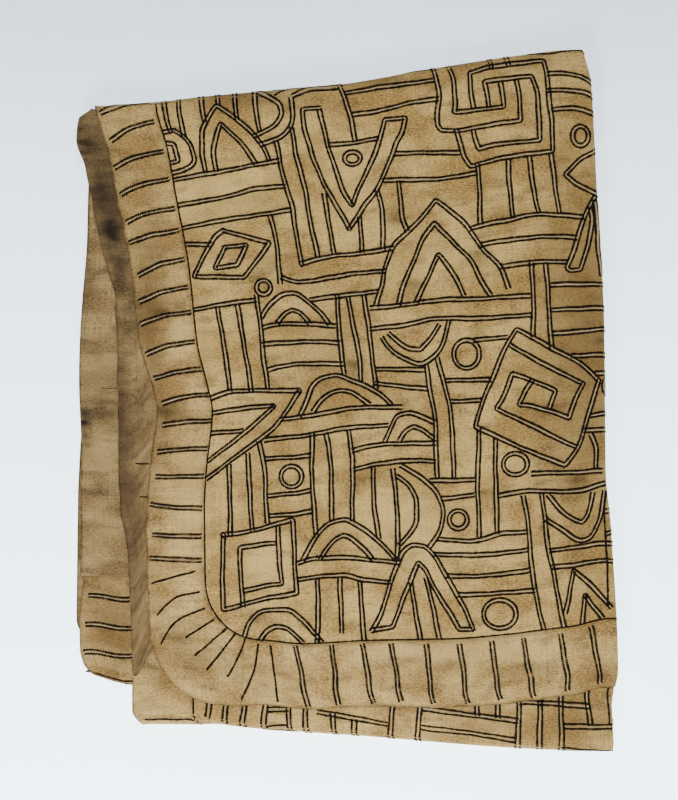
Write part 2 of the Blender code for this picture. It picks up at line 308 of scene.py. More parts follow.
def facing_out(u, v):
    """The cloth's normal on its embroidered side, from two short steps across it."""
    across = place(u + 0.1, v) - place(u - 0.1, v)
    along = place(u, v + 0.1) - place(u, v - 0.1)
    normal = np.cross(across, along)
    return normal / np.linalg.norm(normal, axis=-1, keepdims=True)


def corner_inset(v, half):
    """How far the seam draws in from its straight line at v, and the angle round the corner, or None."""
    for end, past in (("start", v - END_BORDER), ("end", CLOTH_LENGTH - END_BORDER - v)):
        radius = CORNERS[half, end].seam_radius
        if past < radius:
            angle = math.acos(min(1 - max(past, 0.0) / radius, 1.0))
            return radius * (1 - math.sin(angle)), (end, angle)
    return 0.0, None


# Cells along each panel, round a turn and across each half, and the share of a corner's turn per row
PANEL_CELLS = (150, 34, 16, 20)
FOLD_CELLS = 8
HALF_CELLS = {"A": 110, "B": 34}
TURN_CELLS = 8
CORNER_TURN = np.linspace(0.0, 1.0, 13)


def field_rows():
    """The v of each row of the field, closer together round the corners and the folds."""
    start_radius = CORNERS["A", "start"].seam_radius
    end_radius = CORNERS["A", "end"].seam_radius
    rows = [END_BORDER + start_radius * (1 - math.cos(math.pi / 2 * t)) for t in CORNER_TURN[:-1]]
    begin = END_BORDER + start_radius
    at = 0.0
    for index, length in enumerate(PANELS):
        last = index == len(PANELS) - 1
        end = CLOTH_LENGTH - END_BORDER - end_radius if last else at + length
        rows += list(np.linspace(begin, end, PANEL_CELLS[index], endpoint=False))
        at += length
        if not last:
            rows += list(np.linspace(at, at + FOLD_LENGTH, FOLD_CELLS, endpoint=False))
            at += FOLD_LENGTH
            begin = at
    closing = [end_radius * (1 - math.cos(math.pi / 2 * t)) for t in CORNER_TURN]
    return rows + [CLOTH_LENGTH - END_BORDER - inset for inset in reversed(closing)]


def field_grid():
    """The flat points of the field, row by row, from half A's seam to half B's."""
    rows = []
    for v in field_rows():
        fold_u = float(through(FOLD_LINE, v))
        left = SIDE_BORDER + corner_inset(v, "A")[0]
        right = CLOTH_WIDTH - SIDE_BORDER - corner_inset(v, "B")[0]
        turn_start, turn_end = fold_u - TURN_HALF, fold_u + TURN_HALF
        across = [
            np.linspace(left, turn_start, HALF_CELLS["A"], endpoint=False),
            np.linspace(turn_start, turn_end, TURN_CELLS, endpoint=False),
            np.linspace(turn_end, right, HALF_CELLS["B"] + 1),
        ]
        u = np.concatenate(across)
        rows.append(np.stack([u, np.full_like(u, v)], axis=-1))
    return np.array(rows)


# Stains and soiling, with painted shade in creases and under overhangs. Each lies in the layer of its
# level, counted from the table up
STAINS_AND_PAINTED_SHADE = [Patch(*row) for row in (
    (-169, 122, 9, 24, 6, 0.85), (-163, 96, 8, 22, 6, 0.6), (-187, 186, 12, 22, 6, 0.7),
    (-176, 150, 12, 26, 6, 0.6), (-150, 62, 10, 20, 6, 0.6), (-162, -4, 4, 60, 6, 0.45),
    (-146, 0, 5, 16, 6, 0.35), (-188, -16, 6, 13, 4, 0.95), (-176, -5, 14, 14, 4, 0.5),
    (-188, 90, 8, 26, 4, 0.4), (-180, 45, 16, 5, 4, 0.4), (-180, -62, 14, 10, 4, 0.35),
    (-176, -122, 18, 4, 4, 0.5), (-172, -132, 20, 5, 1, 0.5), (-164, -190, 10, 10, 1, 0.35),
    # The level-5 patches at (-148, -182) and (-136, -192), and the thin one at y -229, are painted shadow
    (-148, -182, 9, 9, 5, 0.8), (-136, -192, 14, 10, 5, 0.7), (-152, -120, 6, 50, 5, 0.45),
    # From (-128, 67) on, the level-7 patches on the creases are painted shade in those creases
    (-135, -229, 22, 1.6, 5, 0.55), (-128, 67, 20, 6, 7, 0.4), (-130, -6, 18, 7, 7, 0.42),
    (-50, 101, 8, 7, 7, 0.45), (-66, 90, 9, 5, 7, 0.4), (36, 134, 10, 7, 7, 0.45), (49, 82, 6, 8, 7, 0.4),
    (4, 27, 8, 8, 7, 0.4), (99, 106, 8, 8, 7, 0.5), (184, 46, 8, 6, 7, 0.45), (146, -8, 10, 6, 7, 0.5),
    (102, -67, 7, 6, 7, 0.5), (166, -57, 8, 8, 7, 0.45), (153, -46, 6, 5, 7, 0.4), (41, 1, 10, 5, 7, 0.4),
    (10, -55, 12, 8, 7, 0.4), (-61, -157, 14, 6, 7, 0.5), (-118, -166, 16, 9, 7, 0.4),
    (-96, -189, 18, 8, 7, 0.4), (76, -190, 8, 5, 7, 0.4), (42, -187, 9, 5, 7, 0.35),
    (130, -192, 26, 4, 7, 0.4), (180, -197, 12, 6, 7, 0.4),
)]
# Broad painted shade (+) under hems and along folds, and painted light (-) where the cloth faces the light
PAINTED_LIGHT_AND_SHADE = [Patch(*row) for row in (
    (162, 15, 32, 58, 7, 0.6), (172, 50, 34, 150, 7, 0.85), (-148, 70, 15, 9, 7, 0.9),
    (-130, -10, 20, 9, 7, 0.8), (60, -212, 130, 5, 5, 0.8), (170, -230, 30, 18, 5, 0.7),
    (172, -95, 26, 40, 7, 0.4), (-140, 40, 16, 150, 7, 0.85), (-170, 150, 24, 70, 6, 0.8),
    (-156, -60, 16, 110, 6, 0.9), (-172, -165, 26, 40, 1, 0.9), (165, 116, 24, 42, 7, 0.4),
    (154, -56, 34, 34, 7, 0.3), (-11, 23, 44, 44, 7, 0.35), (-40, -20, 40, 30, 7, 0.2),
    (111, 134, 20, 16, 7, 0.35), (50, 134, 24, 12, 7, 0.4), (-33, 95, 22, 12, 7, 0.35),
    (-76, 218, 70, 9, 7, 0.75), (10, 231, 60, 7, 7, 0.7), (90, 243, 70, 8, 7, 0.6),
    (-123, -178, 30, 16, 7, 0.5), (-60, -198, 40, 12, 7, 0.35), (-160, 112, 12, 30, 7, 0.3),
    (-90, 152, 44, 20, 7, -0.6), (-112, 44, 20, 16, 7, -0.5), (68, 109, 30, 26, 7, -0.4),
    (39, -85, 36, 24, 7, -0.6), (-112, -71, 18, 36, 7, -0.6), (-58, -114, 18, 16, 7, -0.5),
    (3, 155, 24, 34, 7, -0.4), (97, -180, 84, 12, 7, -0.55), (-150, 200, 20, 12, 7, -0.3),
    (-137, -222, 22, 7, 5, -0.6), (130, -233, 80, 16, 5, 0.55), (-20, -231, 60, 10, 5, 0.15),
    (-148, 15, 8, 26, 6, -0.6), (-148, -42, 6, 16, 6, -0.5), (-178, 20, 12, 22, 4, -0.4),
    (-178, -36, 12, 12, 4, -0.7), (-176, -95, 14, 16, 4, -0.35), (-172, -186, 20, 12, 1, -0.3),
)]


def patches_at(x, y, level, rows):
    """The depth of a table's patches at points of the bundle, each within its own layer."""
    deepest, highest = np.zeros_like(x), np.zeros_like(x)
    for row in rows:
        near = np.exp(-(((x - row.x) / row.reach_x) ** 2) - ((y - row.y) / row.reach_y) ** 2)
        depth = row.depth * near * soft_step(1.5 - np.abs(level - row.level))
        deepest, highest = np.minimum(deepest, depth), np.maximum(highest, depth)
    return deepest + highest


def layer_of(u, v):
    """The level of a flat point's layer in the folded bundle, 7 on top and 0 on the table."""
    panel = along_path(v)[0]
    half_b = u > through(FOLD_LINE, v)
    return np.where(panel % 2 == 0, TOP_LEVEL - 2 * panel - half_b, TOP_LEVEL - 1 - 2 * panel + half_b)


def sheet_piece(name, flat, closed, thicken, painted_edge_shade, materials):
    """A sheet of cloth as one closed mesh: embroidered side, reverse and the edge between them."""
    rows, columns = flat.shape[:2]
    u, v = flat[..., 0].ravel(), flat[..., 1].ravel()
    middle, out = place(u, v), facing_out(u, v)
    half = (SHEET / 2 + thicken.ravel())[:, None]
    points = np.concatenate([middle + out * half, middle - out * half]) - ORIGIN
    count = len(middle)
    wide = columns if closed else columns - 1
    row, column = np.meshgrid(np.arange(rows - 1), np.arange(wide), indexing="ij")
    first = (row * columns + column).ravel()
    beside = (row * columns + (column + 1) % columns).ravel()
    front = np.stack([first, beside, beside + columns, first + columns], axis=1)
    bottom = np.arange(columns)
    top = bottom[::-1] + (rows - 1) * columns
    if closed:
        loops = [bottom, top]
    else:
        right = np.arange(1, rows) * columns + columns - 1
        left = np.arange(rows - 2, 0, -1) * columns
        loops = [np.concatenate([bottom, right, top[1:], left])]
    rims = []
    for loop in loops:
        ahead = np.roll(loop, -1)
        rims.append(np.stack([ahead, loop, count + loop, count + ahead], axis=1))
    rim = np.concatenate(rims)
    faces = np.concatenate([front, count + front[:, ::-1], rim])
    mesh = bpy.data.meshes.new(name)
    mesh.from_pydata((points * MM).tolist(), [], faces.tolist())
    for material in materials:
        mesh.materials.append(material)
    on_reverse = np.zeros(len(faces), np.int32)
    on_reverse[len(front):2 * len(front)] = 1
    mesh.polygons.foreach_set("material_index", on_reverse)
    mesh.polygons.foreach_set("use_smooth", np.ones(len(faces), bool))
    # The map is the flat cloth in metres. The reverse has its own place beside it
    aside = np.repeat([0.0, CLOTH_WIDTH + MAP_ASIDE], count)
    spread = np.stack([np.tile(u, 2) + aside, np.tile(v, 2)], axis=1) * MM
    layer = mesh.uv_layers.new(name="flat_cloth")
    corners = np.zeros(len(mesh.loops), np.int32)
    mesh.loops.foreach_get("vertex_index", corners)
    layer.data.foreach_set("uv", spread[corners].astype(np.float32).ravel())
    x, y, level = np.tile(middle[:, 0], 2), np.tile(middle[:, 1], 2), np.tile(layer_of(u, v), 2)
    # Colour attribute: stains plus painted shade of creases and hems, then broad painted shade and light
    stain_and_shade_channels = np.ones((2 * count, 4), np.float32)
    stain_and_shade_channels[:, 0] = np.maximum(patches_at(x, y, level, STAINS_AND_PAINTED_SHADE), np.tile(painted_edge_shade.ravel(), 2))
    stain_and_shade_channels[:, 1] = 0.5 + 0.5 * patches_at(x, y, level, PAINTED_LIGHT_AND_SHADE)
    attribute = mesh.color_attributes.new("stain_and_shade_channels", "FLOAT_COLOR", "POINT")
    attribute.data.foreach_set("color", stain_and_shade_channels.ravel())
    return in_scene(name, mesh)


def in_scene(name, data):
    """A new object in the scene."""
    made = bpy.data.objects.new(name, data)
    bpy.context.scene.collection.objects.link(made)
    return made


def colour(code):
    """An sRGB hex colour as linear RGBA."""
    parts = [int(code[i:i + 2], 16) / 255 for i in (1, 3, 5)]
    return (*[c / 12.92 if c <= 0.04045 else ((c + 0.055) / 1.055) ** 2.4 for c in parts], 1.0)


def add(tree, kind, inputs, **settings):
    """A node with its settings, and its inputs linked to sockets or set to values."""
    made = tree.nodes.new("ShaderNode" + kind)
    for name, value in settings.items():
        setattr(made, name, value)
    for name, value in inputs.items():
        if isinstance(value, bpy.types.NodeSocket):
            tree.links.new(value, made.inputs[name])
        else:
            made.inputs[name].default_value = value
    return made


def new_material(name):
    """An empty material with its shader, to be fed by add()."""
    material = bpy.data.materials.new(name)
    material.use_nodes = True
    return material, material.node_tree, material.node_tree.nodes["Principled BSDF"]


def math_node(tree, operation, first, second=0.0):
    """One sum, product or function of two values."""
    return add(tree, "Math", {0: first, 1: second}, operation=operation).outputs[0]


def blend_colour(tree, share, first, second):
    """Two colours blended by a share. Sockets 6 and 7 are a colour mix node's two colours."""
    return add(tree, "Mix", {0: share, 6: first, 7: second}, data_type="RGBA").outputs[2]


def ramp(tree, value, low, high):
    """A value stretched so that low gives 0 and high gives 1."""
    return add(tree, "MapRange", {0: value, 1: low, 2: high, 3: 0.0, 4: 1.0}).outputs[0]


def blend_by(tree, value, low, high, strength, first, second):
    """Two colours blended by a value's ramp at part strength."""
    share = math_node(tree, "MULTIPLY", ramp(tree, value, low, high), strength)
    return blend_colour(tree, share, first, second)


def noise_at(tree, where, across_mm, along_mm, detail=3.0):
    """Noise over the flat cloth with features of so many mm across and along it."""
    scaled = add(
        tree, "VectorMath", {0: where, 1: (1 / (across_mm * MM), 1 / (along_mm * MM), 1.0)},
        operation="MULTIPLY",
    ).outputs[0]
    return add(tree, "TexNoise", {"Vector": scaled, "Scale": 1.0, "Detail": detail}).outputs[0]


def raffia(name, light, middle, dark, stain_and_shade_colour):
    """Plain-woven raffia: flat strips over and under, in tones from one length of leaf to the next."""
    material, tree, shader = new_material(name)
    where = add(tree, "UVMap", {}, uv_map="flat_cloth").outputs[0]
    wander = add(tree, "TexNoise", {"Vector": where, "Scale": 45.0, "Detail": 2.0}).outputs[1]
    centred = add(tree, "VectorMath", {0: wander, 1: (0.5, 0.5, 0.5)}, operation="SUBTRACT").outputs[0]
    bent = add(
        tree, "VectorMath", {0: centred, 1: (0.0035, 0.0035, 0.0), 2: where}, operation="MULTIPLY_ADD"
    ).outputs[0]
    parts = add(tree, "SeparateXYZ", {0: bent})
    turn = math.pi / (STRIP_WIDTH * MM)
    warp = math_node(tree, "SINE", math_node(tree, "MULTIPLY", parts.outputs[0], turn))
    weft = math_node(tree, "SINE", math_node(tree, "MULTIPLY", parts.outputs[1], turn))
    # Where a strip passes under, and in the grooves between strips, colour is darkened as painted shade
    over = math_node(tree, "MULTIPLY", warp, weft)
    grooves = math_node(tree, "MINIMUM", math_node(tree, "ABSOLUTE", warp), math_node(tree, "ABSOLUTE", weft))
    warp_tone = noise_at(tree, bent, 1.1, 90.0)
    weft_tone = noise_at(tree, bent, 70.0, 1.1)
    threads = math_node(tree, "ADD", warp_tone, weft_tone)
    clouds = noise_at(tree, where, 38.0, 30.0, 4.0)
    patches = noise_at(tree, where, 20.0, 9.0, 4.0)
    grain = noise_at(tree, where, 2.2, 0.8, 2.0)
    fibres = noise_at(tree, where, 0.35, 5.0, 2.0)
    light, middle, dark, stain_and_shade_colour = map(colour, (light, middle, dark, stain_and_shade_colour))
    # First channel: stains plus painted shade of creases and hems. Second: painted shade and painted light
    stain_and_shade_node = add(tree, "Attribute", {}, attribute_name="stain_and_shade_channels")
    stains_with_painted_shade, shade = add(tree, "SeparateColor", {0: stain_and_shade_node.outputs["Color"]}).outputs[:2]
    base = blend_colour(tree, ramp(tree, clouds, 0.42, 0.6), light, middle)
    # The last two steps lay on the broad painted shade and painted light
    for value, low, high, strength, tone in (
        (threads, 0.96, 1.26, 0.75, middle), (patches, 0.5, 0.7, 0.7, dark), (grain, 0.48, 0.7, 0.6, dark),
        (grain, 0.52, 0.3, 0.7, light), (grooves, 0.42, 0.0, 0.3, dark), (over, 0.1, -0.9, 0.2, dark),
        (shade, 0.5, 1.0, 0.85, dark), (shade, 0.5, 0.0, 0.75, light),
    ):
        base = blend_by(tree, value, low, high, strength, base, tone)
    # Stains, and the painted shade of creases and hems, in the stain colour
    broken = ramp(tree, patches, 0.22, 0.56)
    share = math_node(tree, "MULTIPLY", stains_with_painted_shade, math_node(tree, "ADD", broken, 0.25))
    base = blend_colour(tree, share, base, stain_and_shade_colour)
    tree.links.new(base, shader.inputs["Base Color"])
    height = math_node(tree, "ADD", math_node(tree, "MULTIPLY", over, 0.45), grooves)
    height = math_node(tree, "ADD", height, math_node(tree, "MULTIPLY", fibres, 0.6))
    height = math_node(tree, "ADD", height, math_node(tree, "MULTIPLY", threads, 0.8))
    bump = add(tree, "Bump", {"Height": height, "Strength": 0.7, "Distance": 0.5 * MM})
    tree.links.new(bump.outputs[0], shader.inputs["Normal"])
    rough = add(tree, "MapRange", {0: fibres, 1: 0.3, 2: 0.7, 3: 0.72, 4: 0.9}).outputs[0]
    tree.links.new(rough, shader.inputs["Roughness"])
    shader.inputs["Specular IOR Level"].default_value = 0.25
    return material


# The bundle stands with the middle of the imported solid's box over the origin
ORIGIN = np.array([0.6, 0.0, 0.0])

# Raffia leaf strips woven by hand and never dyed evenly: honey tan with paler and browner threads
raffia_front = raffia("handwoven_raffia_front", "#EFCA7C", "#B18C4B", "#6A502C", "#362611")
# The same cloth seen from behind: it kept the brown of handling, with specks of the stitching
raffia_reverse = raffia("handwoven_raffia_reverse", "#C9AA6F", "#886B41", "#4B3824", "#241911")

field_flat = field_grid()
field_cloth = sheet_piece(
    "field_cloth", field_flat, False, np.zeros(field_flat.shape[:2]), np.zeros(field_flat.shape[:2]),
    (raffia_front, raffia_reverse),
)
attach(field_cloth, "root")
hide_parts("field")

# Border
# Strips of the same raffia sewn round the field, rounded at the corners, with the hem rolled to the
# back and whipped down. The strips were pieced into one ring before the skirt was folded.

HEM_ROLL = 0.42
HEM_REACH = 2.6
# Reach in mm of the painted shade along the rolled edge
HEM_SHADE_REACH = 1.1
ACROSS = (0.0, 0.02, 0.05, 0.09, 0.15, 0.23, 0.32, 0.42, 0.52, 0.62, 0.72, 0.82, 0.91, 1.0)


def eased(distance, seam_start, hem_start):
    """Distance along the hem for one along the seam, which the hem's rounder corner shifts."""
    shift = seam_start - hem_start
    return distance - shift * (1 - soft_step((distance - seam_start) / CORNER_EASE))


def hem_beside(v, half):
    """The hem's point beside a side's seam at v."""
    corner = corner_inset(v, half)[1]
    if corner:
        end, angle = corner
        radius = CORNERS[half, end].hem_radius
        inward, along = radius * (1 - math.sin(angle)), radius * (1 - math.cos(angle))
    else:
        end = "start" if v < CLOTH_LENGTH / 2 else "end"
        seam_radius, hem_radius = CORNERS[half, end]
        inward = 0.0
        past = v if end == "start" else CLOTH_LENGTH - v
        along = float(eased(past, END_BORDER + seam_radius, hem_radius))
    hem_u = inward if half == "A" else CLOTH_WIDTH - inward
    return hem_u, along if end == "start" else CLOTH_LENGTH - along


def hem_below(u, v, end):
    """The hem's point beyond a point of an end's seam."""
    half = "A" if u < through(FOLD_LINE, v) else "B"
    seam_radius, hem_radius = CORNERS[half, end]
    past = u if half == "A" else CLOTH_WIDTH - u
    along = float(eased(past, SIDE_BORDER + seam_radius, hem_radius))
    hem_u = along if half == "A" else CLOTH_WIDTH - along
    return hem_u, 0.0 if end == "start" else CLOTH_LENGTH


def seam_and_hem(field):
    """The flat points of the seam all round, and the hem's point beyond each."""
    seam, hem = [], []
    for u, v in field[0, :-1]:
        seam.append((u, v))
        hem.append(hem_below(u, v, "start"))
    for u, v in field[:-1, -1]:
        seam.append((u, v))
        hem.append(hem_beside(v, "B"))
    for u, v in field[-1, :0:-1]:
        seam.append((u, v))
        hem.append(hem_below(u, v, "end"))
    for u, v in field[:0:-1, 0]:
        seam.append((u, v))
        hem.append(hem_beside(v, "A"))
    return np.array(seam), np.array(hem)


seam_line, hem_line = seam_and_hem(field_flat)
outward = (hem_line - seam_line) / np.linalg.norm(hem_line - seam_line, axis=1, keepdims=True)
# A hand-rolled hem waves by a few tenths of a mm
steps = np.arange(len(hem_line))
hem_wave = 0.35 * np.sin(steps / 3.1) * np.sin(steps / 13.7) + 0.25 * np.sin(steps / 1.7)
border_flat = np.array(
    [
        mix(hem_line + outward * hem_wave[:, None] * (1 - share), seam_line + SEAM_GAP * outward, share)
        for share in ACROSS
    ]
)
from_hem = np.array(ACROSS)[:, None] * np.linalg.norm(hem_line - seam_line, axis=1)[None, :]
roll = HEM_ROLL * np.exp(-((from_hem / HEM_REACH) ** 2))
# Border strips came from a slightly greyer, drier length of raffia
border_front = raffia("handwoven_raffia_border", "#EECA80", "#AE894B", "#664C2B", "#352411")
# Painted shade along the rolled edge, where it turns from the light, with a little soiling of handling
hem_edge_shade = 0.75 * np.exp(-((from_hem / HEM_SHADE_REACH) ** 2))
border_cloth = sheet_piece("border_cloth", border_flat, True, roll, hem_edge_shade, (border_front, raffia_reverse))
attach(border_cloth, "root")
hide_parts("border")

# Stitched pattern of the field
# Raffia yarn: each band is two rows of black stem stitch with a pale filling laid across between them.
# Sewn by eye on the flat cloth, unit by unit, so that no two lie quite straight or alike.

# Sizes of the stitches in mm, with their slant to the row in degrees
Stitch = namedtuple("Stitch", "pitch length width height slant lift")
BLACK_STITCH = Stitch(1.75, 2.7, 1.5, 0.7, 29.0, 0.16)
BAR_STITCH = Stitch(1.75, 2.8, 1.35, 0.74, 42.0, 0.18)
PALE_STITCH = Stitch(1.15, 1.3, 1.2, 0.4, 80.0, 0.0)
BAND_HALF = 1.32
SMOOTHING = 1.5
# A drawn line keeps its corner where it turns by more degrees than this
SHARP_TURN = 48.0
SEAM_REACH = 7.0
FINE_STEP = 0.6
WOBBLE = 0.32
RING_WOBBLE = 0.12
# Lengths in mm over which a row sways and a band changes width, then the clear strip along the seam
SWAY_LENGTH = 15.0
WIDTH_LENGTH = 9.0
WIDTH_CHANGE = 0.12
CLEAR_OF_SEAM = 0.9
hand = np.random.default_rng(11)


def flat_of(points, half, panel):
    """Where on the flat cloth points of the bundle's plan lie, for one half of one panel."""
    x, y = np.asarray(points, float).T
    left = through(LEFT_HEMS[half][panel], y)
    right = through(RIGHT_FOLD, y) - TURN_RADIUS
    across = (right - x) / (right - left)
    bottom, top = bottom_of(panel, half == "B", x), top_of(panel, x)
    run = (y - bottom) / (top - bottom)
    if panel % 2:
        run = 1 - run
    v = sum(PANELS[:panel]) + panel * FOLD_LENGTH + run * PANELS[panel]
    fold_u = through(FOLD_LINE, v)
    if half == "A":
        u = (fold_u - TURN_HALF) * (1 - across)
    else:
        u = fold_u + TURN_HALF + across * (CLOTH_WIDTH - fold_u - TURN_HALF)
    return np.stack([u, v], axis=-1)


def resampled(line, step):
    """A line's points at even steps along it."""
    along = np.concatenate([[0.0], np.cumsum(np.linalg.norm(np.diff(line, axis=0), axis=1))])
    count = max(int(round(along[-1] / step)), 2)
    at = np.linspace(0.0, along[-1], count + 1)
    return np.stack([np.interp(at, along, line[:, i]) for i in range(line.shape[1])], axis=-1)


def curved(points):
    """A drawn line as even short steps: smooth through its points, but with its sharp corners kept."""
    points = np.asarray(points, float)
    legs = np.diff(points, axis=0)
    heading = np.degrees(np.arctan2(legs[:, 1], legs[:, 0]))
    turn = np.abs((np.diff(heading) + 180) % 360 - 180)
    breaks = [0, *(np.flatnonzero(turn > SHARP_TURN) + 1), len(points) - 1]
    parts = []
    for first, last in zip(breaks[:-1], breaks[1:]):
        part = points[first:last + 1]
        along = np.concatenate([[0.0], np.cumsum(np.linalg.norm(np.diff(part, axis=0), axis=1))])
        at = np.linspace(0.0, along[-1], max(int(along[-1] / FINE_STEP), 2) + 1)
        curve = [through(list(zip(along, part[:, i])), at) for i in range(2)]
        parts.append(np.stack(curve, axis=-1)[0 if first == 0 else 1:])
    return resampled(np.concatenate(parts), FINE_STEP)


def hand_drawn(line, ring=False, smoothing=SMOOTHING, wobble=WOBBLE):
    """A drawn line with its corners a little softened and the small wander of hand stitching."""
    fine = curved(line)
    reach = max(int(round(smoothing / FINE_STEP)), 1)
    window = np.hanning(2 * reach + 3)[1:-1]
    window /= window.sum()
    soft = []
    for i in range(2):
        if ring:
            padded = np.pad(fine[:-1, i], reach, mode="wrap")
        else:
            padded = np.pad(fine[:, i], reach, mode="reflect", reflect_type="odd")
        soft.append(np.convolve(padded, window, mode="valid"))
    soft = np.stack(soft, axis=-1)
    if ring:
        soft = np.concatenate([soft, soft[:1]])
    turns = np.linspace(0.0, len(soft) * FINE_STEP / SWAY_LENGTH, len(soft))
    phase = hand.uniform(0, 6.3, 4)
    sway = np.sin(turns * 2.1 + phase[0]) + 0.6 * np.sin(turns * 4.7 + phase[1])
    drift = np.sin(turns * 1.7 + phase[2]) + 0.6 * np.sin(turns * 5.3 + phase[3])
    fade = 0.0 if ring else 1.0
    return soft + wobble * 0.6 * fade * np.stack([sway, drift], axis=-1)


def inside_seam(points):
    """How far inside the seam of the uppermost panel points of the flat cloth lie."""
    radius = CORNERS["A", "start"].seam_radius
    from_side, from_end = points[:, 0] - SIDE_BORDER, points[:, 1] - END_BORDER
    rounded = radius - np.hypot(radius - from_side, radius - from_end)
    in_corner = (from_side < radius) & (from_end < radius)
    return np.where(in_corner, rounded, np.minimum(from_side, from_end))


def up_to_seam(line):
    """A line that runs up to the seam or past it, made to end on it."""
    for _ in range(2):
        line = line[::-1]
        end = line[-1]
        ahead = (end - line[-4]) / np.linalg.norm(end - line[-4])
        extra = np.array([end, end + ahead * SEAM_REACH])
        reach = inside_seam(extra)
        if 0 < reach[0] < SEAM_REACH and reach[1] < 0:
            line = np.concatenate([line, resampled(extra, FINE_STEP)[1:]])
    return line[inside_seam(line) > CLEAR_OF_SEAM]


def beside(line, distance):
    """A line moved sideways on the flat cloth."""
    tangent = np.gradient(line, axis=0)
    tangent /= np.linalg.norm(tangent, axis=1, keepdims=True) + 1e-9
    return line + distance * np.stack([-tangent[:, 1], tangent[:, 0]], axis=-1)


def ring_of(x, y, reach_x, reach_y, points=20):
    """A closed ring or eye round a middle."""
    turn = np.linspace(0.0, 2 * math.pi, points + 1)
    return np.stack([x + reach_x * np.cos(turn), y + reach_y * np.sin(turn)], axis=-1)


class Yarn:
    """Stitches of one yarn, kept as rows until they are made into one mesh."""

    def __init__(self, stitch, on_reverse=False):
        self.stitch, self.side, self.rows = stitch, -1.0 if on_reverse else 1.0, []

    def sew(self, line):
        """Stitches along a line of the flat cloth."""
        self.rows.append(resampled(line, self.stitch.pitch))

    def piece(self, name, material):
        """Every stitch as a bead of yarn that lies on the cloth, pointed at both ends."""
        kind = self.stitch
        centres, aheads, outs = [], [], []
        flat = np.concatenate(self.rows)
        placed, normals = place(*flat.T), facing_out(*flat.T) * self.side
        begin = 0
        for row in self.rows:
            here = placed[begin:begin + len(row)]
            ahead = np.gradient(here, axis=0)
            centres.append(here)
            aheads.append(ahead / (np.linalg.norm(ahead, axis=1, keepdims=True) + 1e-9))
            outs.append(normals[begin:begin + len(row)])
            begin += len(row)
        centres, aheads, outs = map(np.concatenate, (centres, aheads, outs))
        sides = np.cross(outs, aheads)
        sides /= np.linalg.norm(sides, axis=1, keepdims=True) + 1e-9
        count = len(centres)
        slant = np.radians(kind.slant + hand.normal(0.0, 9.0, count))[:, None]
        axis = aheads * np.cos(slant) + sides * np.sin(slant)
        cross = np.cross(outs, axis)
        long = kind.length / 2 * hand.uniform(0.88, 1.12, count)[:, None, None]
        wide = kind.width / 2 * hand.uniform(0.8, 1.25, count)[:, None, None]
        high = kind.height / 2 * hand.uniform(0.85, 1.15, count)[:, None, None]
        bead = [(-1.0, 0.0, 0.0), (1.0, 0.0, 0.0)]
        for end in (-0.5, 0.5):
            bead += [(end, 0.95, 0.0), (end, 0.0, 0.95), (end, -0.95, 0.0), (end, 0.0, -0.95)]
        bead = np.array(bead)[None]
        lifted = centres + outs * (SHEET / 2 + kind.lift)
        points = (
            lifted[:, None, :]
            + bead[..., 0:1] * long * axis[:, None, :]
            + bead[..., 1:2] * wide * cross[:, None, :]
            + bead[..., 2:3] * high * outs[:, None, :]
        )
        faces = []
        for k in range(4):
            after = (k + 1) % 4
            faces.append((0, 2 + after, 2 + k, 2 + k))
            faces.append((2 + k, 2 + after, 6 + after, 6 + k))
            faces.append((6 + k, 6 + after, 1, 1))
        corners = [face if face[2] != face[3] else face[:3] for face in faces]
        start = np.arange(count) * bead.shape[1]
        threes = np.array([f for f in corners if len(f) == 3])
        fours = np.array([f for f in corners if len(f) == 4])
        every = (start[:, None, None] + threes[None]).reshape(-1, 3).tolist()
        every += (start[:, None, None] + fours[None]).reshape(-1, 4).tolist()
        mesh = bpy.data.meshes.new(name)
        mesh.from_pydata(((points.reshape(-1, 3) - ORIGIN) * MM).tolist(), [], every)
        mesh.polygons.foreach_set("use_smooth", np.ones(len(every), bool))
        mesh.materials.append(material)
        return in_scene(name, mesh)


def yarn_material(name, light, dark, specular):
    """Twisted raffia yarn: tone and gloss change from stitch to stitch, with fibres along it."""
    material, tree, shader = new_material(name)
    where = add(tree, "TexCoord", {}).outputs["Object"]
    slow = add(tree, "TexNoise", {"Vector": where, "Scale": 60.0, "Detail": 2.0}).outputs[0]
    quick = add(tree, "TexNoise", {"Vector": where, "Scale": 900.0, "Detail": 3.0}).outputs[0]
    both = math_node(tree, "ADD", slow, quick)
    base = blend_colour(tree, ramp(tree, both, 0.75, 1.25), colour(dark), colour(light))
    tree.links.new(base, shader.inputs["Base Color"])
    rough = add(tree, "MapRange", {0: quick, 1: 0.3, 2: 0.7, 3: 0.55, 4: 0.85}).outputs[0]
    tree.links.new(rough, shader.inputs["Roughness"])
    bump = add(tree, "Bump", {"Height": quick, "Strength": 0.5, "Distance": 0.15 * MM})
    tree.links.new(bump.outputs[0], shader.inputs["Normal"])
    shader.inputs["Specular IOR Level"].default_value = specular
    return material


